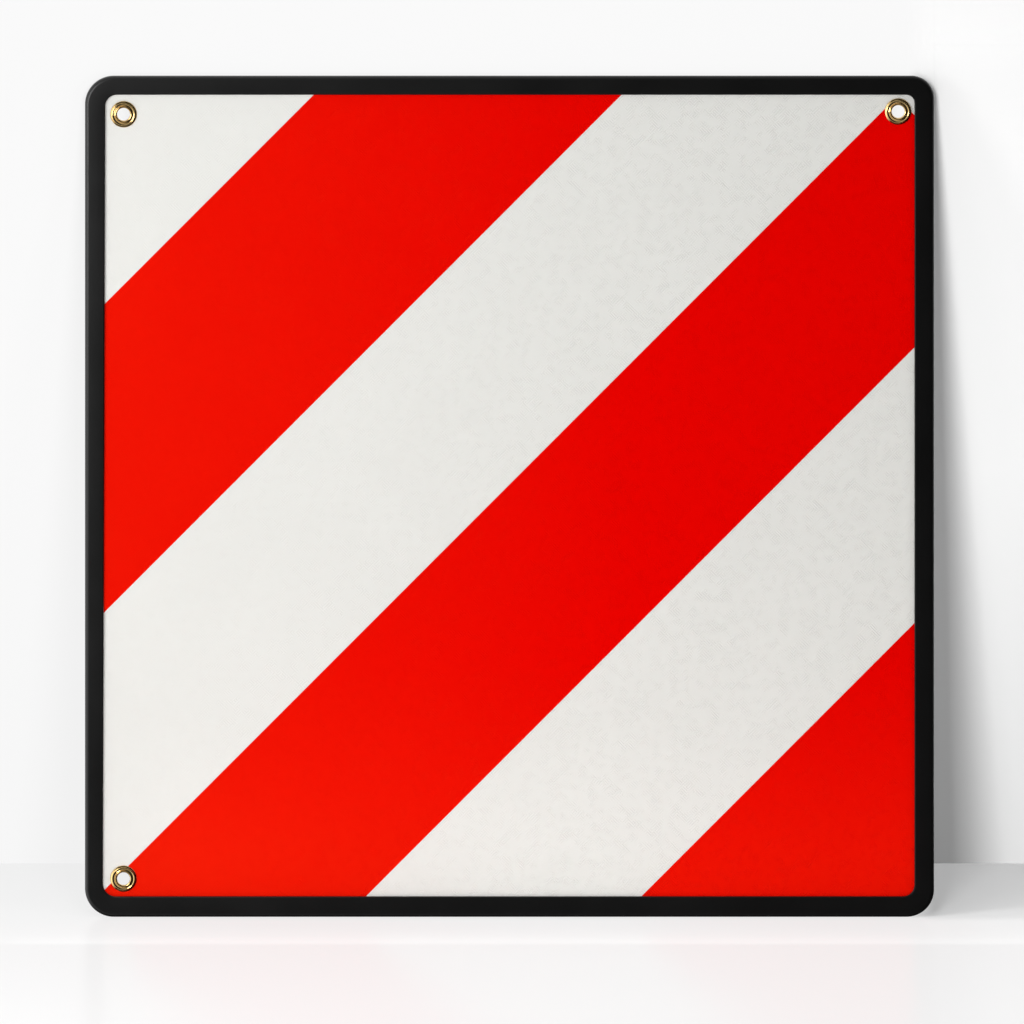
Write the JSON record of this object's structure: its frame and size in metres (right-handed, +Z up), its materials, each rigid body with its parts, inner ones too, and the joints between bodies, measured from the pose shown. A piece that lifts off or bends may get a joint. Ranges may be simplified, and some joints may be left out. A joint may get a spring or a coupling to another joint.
{
  "type": "overhanging load sign",
  "caption": "Flat square warning panel with diagonal red and white reflecting stripes, rounded corners, a rubber edge trim and brass eyelets for straps.",
  "frame": {"origin": "bottom centre of the sign: the foot of the trim, midway along it and midway through its thickness", "axes": "+X to the right seen from the striped face, +Y towards the plain back, +Z up; the sign stands upright as it hangs in use"},
  "size_m": [0.5, 0.006, 0.5],
  "materials": {
    "sheet_metal": "mill finish with fine rolling lines",
    "white_reflective": "satin reflecting film with a fine embossed mesh",
    "red_reflective": "satin reflecting film with a fine embossed mesh",
    "trim_rubber": "satin black extruded rubber",
    "brass": "polished"
  },
  "bodies": {
    "root": {"panel": "sheet_metal", "white_film": "white_reflective", "red_stripe_upper": "red_reflective", "red_stripe_middle": "red_reflective", "red_corner": "red_reflective", "edge_trim": "trim_rubber", "eyelet_top_left": "brass", "eyelet_top_right": "brass", "eyelet_bottom_left": "brass", "eyelet_washer_top_left": "brass", "eyelet_washer_top_right": "brass", "eyelet_washer_bottom_left": "brass"}
  },
  "joints": []
}
